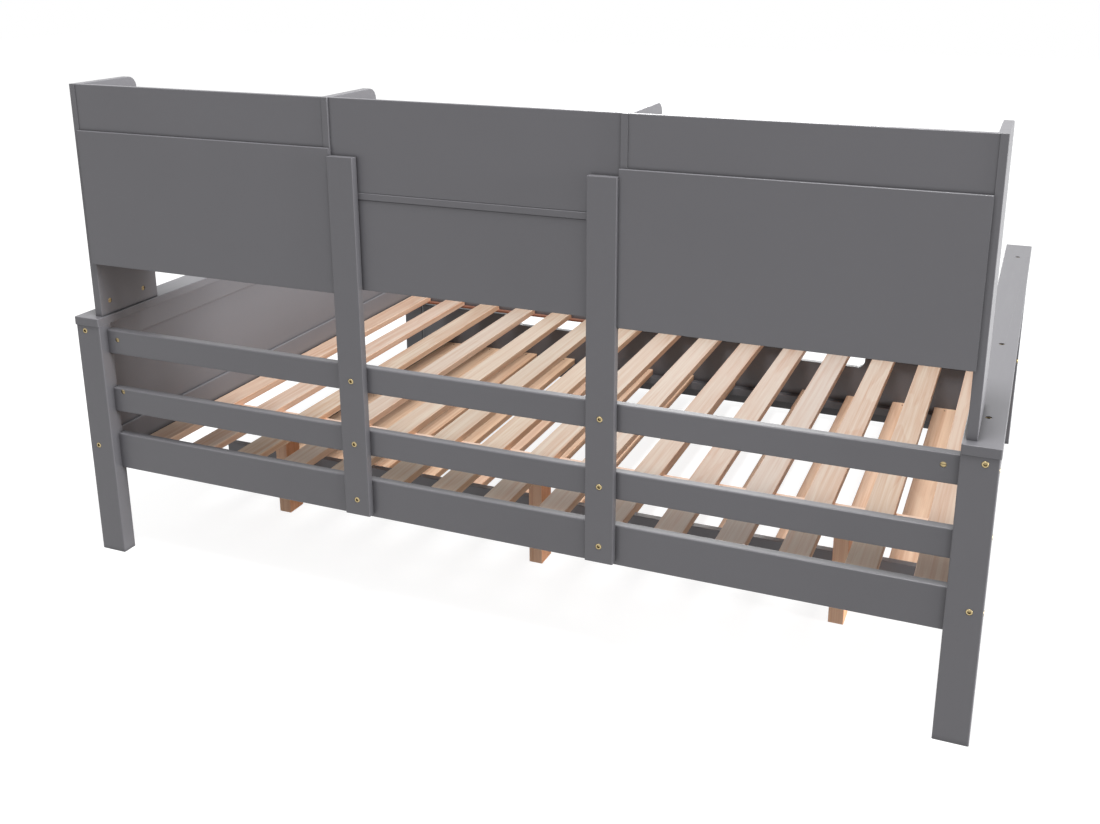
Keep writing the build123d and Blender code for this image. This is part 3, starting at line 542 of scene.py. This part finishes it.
# Nails of the trundle deck
# One steel nail holds each end of every trundle slat. The heads stand a little
# proud, and each is turned at random.
front_inset = 0.0205
rear_inset = 0.0225
rise = 0.0001
nail_inputs = (
    ("Count", "NodeSocketInt", 12), ("First x", "NodeSocketFloat", trundle_first),
    ("Pitch", "NodeSocketFloat", trundle_pitch), ("Last x", "NodeSocketFloat", trundle_last),
    ("Front y", "NodeSocketFloat", trundle_low.y + front_inset),
    ("Rear y", "NodeSocketFloat", trundle_high.y - rear_inset),
    ("Top z", "NodeSocketFloat", trundle_high.z + rise),
    ("Head radius", "NodeSocketFloat", 0.0026), ("Head height", "NodeSocketFloat", 0.0008),
    ("Seed", "NodeSocketInt", 7),
)
head_sides = 12
head_taper = 0.8
full_turn = 6.283

nail_tree = bpy.data.node_groups.new("nail_rows", "GeometryNodeTree")
nail_tree.interface.new_socket("Geometry", in_out="OUTPUT", socket_type="NodeSocketGeometry")
nail_keys = {}
for label, kind, value in nail_inputs:
    socket = nail_tree.interface.new_socket(label, in_out="INPUT", socket_type=kind)
    nail_keys[label] = socket.identifier
nail_steel = metal("nail_steel", (0.16, 0.12, 0.10, 1.0), 0.45)
asked = nail_tree.nodes.new("NodeGroupInput").outputs
first = add_node(nail_tree, "ShaderNodeCombineXYZ",
                 {0: asked["First x"], 1: asked["Front y"], 2: asked["Top z"]})
step = add_node(nail_tree, "ShaderNodeCombineXYZ",
                {0: mathed(nail_tree, "MULTIPLY", asked["Pitch"], -1.0)})
even = add_node(nail_tree, "GeometryNodeMeshLine", {
    "Count": asked["Count"], "Start Location": first.outputs[0], "Offset": step.outputs[0]},
    mode="OFFSET")
last = add_node(nail_tree, "ShaderNodeCombineXYZ",
                {0: asked["Last x"], 1: asked["Front y"], 2: asked["Top z"]})
single = add_node(nail_tree, "GeometryNodeMeshLine",
                  {"Count": 1, "Start Location": last.outputs[0]}, mode="OFFSET")
front_row = nail_tree.nodes.new("GeometryNodeJoinGeometry")
for source in (even, single):
    nail_tree.links.new(source.outputs[0], front_row.inputs[0])
apart = add_node(nail_tree, "ShaderNodeCombineXYZ", {
    1: mathed(nail_tree, "SUBTRACT", asked["Rear y"], asked["Front y"])})
rear_row = add_node(nail_tree, "GeometryNodeTransform", {
    "Geometry": front_row.outputs[0], "Translation": apart.outputs[0]})
rows = nail_tree.nodes.new("GeometryNodeJoinGeometry")
for source in (front_row, rear_row):
    nail_tree.links.new(source.outputs[0], rows.inputs[0])
top_radius = mathed(nail_tree, "MULTIPLY", asked["Head radius"], head_taper)
head = add_node(nail_tree, "GeometryNodeMeshCone", {
    "Vertices": head_sides, "Radius Bottom": asked["Head radius"], "Radius Top": top_radius,
    "Depth": asked["Head height"]})
spin = add_node(nail_tree, "FunctionNodeRandomValue", {"Seed": asked["Seed"]}, data_type="FLOAT")
turned = add_node(nail_tree, "ShaderNodeCombineXYZ",
                  {2: mathed(nail_tree, "MULTIPLY", spin.outputs[1], full_turn)})
heads = add_node(nail_tree, "GeometryNodeInstanceOnPoints", {
    "Points": rows.outputs[0], "Instance": head.outputs[0], "Rotation": turned.outputs[0]})
solid = add_node(nail_tree, "GeometryNodeRealizeInstances", {"Geometry": heads.outputs[0]})
coated = add_node(nail_tree, "GeometryNodeSetMaterial", {
    "Geometry": solid.outputs[0], "Material": nail_steel})
handed_on = nail_tree.nodes.new("NodeGroupOutput")
nail_tree.links.new(coated.outputs[0], handed_on.inputs[0])
pattern = bpy.data.objects.new("nail_pattern", bpy.data.meshes.new("nail_pattern"))
bpy.context.scene.collection.objects.link(pattern)
rows_made = pattern.modifiers.new("nail_rows", "NODES")
rows_made.node_group = nail_tree
for label, kind, value in nail_inputs:
    rows_made[nail_keys[label]] = value
ready = pattern.evaluated_get(bpy.context.evaluated_depsgraph_get())
nail_mesh = bpy.data.meshes.new_from_object(ready)
bpy.data.objects.remove(pattern)
nail_heads = bpy.data.objects.new("trundle_nail_heads", nail_mesh)
bpy.context.scene.collection.objects.link(nail_heads)
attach(nail_heads, "trundle")

# Casters
# Zinc-plated forks on small plates carry moulded black nylon wheels, finely
# grained all over.
zinc = metal("zinc_plating", (0.62, 0.63, 0.65, 1.0), 0.36)
dress(zinc, "caster_brackets", "caster_axles")
speck_scale = 700.0
nylon = bpy.data.materials.new("black_nylon")
tree = shader_tree(nylon)
place = add_node(tree, "ShaderNodeTexCoord").outputs["Object"]
speck = noise(tree, place, speck_scale, 2.0)
soot = mixed(tree, speck, (0.016, 0.016, 0.018, 1.0), (0.035, 0.034, 0.036, 1.0))
relief = add_node(tree, "ShaderNodeBump", {"Strength": 0.2, "Distance": 0.0003, "Height": speck})
skin = add_node(tree, "ShaderNodeBsdfPrincipled", {
    "Base Color": soot, "Roughness": mathed(tree, "MULTIPLY_ADD", speck, 0.2, 0.4),
    "Normal": relief.outputs[0]})
add_node(tree, "ShaderNodeOutputMaterial", {"Surface": skin.outputs[0]})
for end in ("front", "rear"):
    dress(nylon, f"caster_wheel_{end}_left", f"caster_wheel_{end}_right")
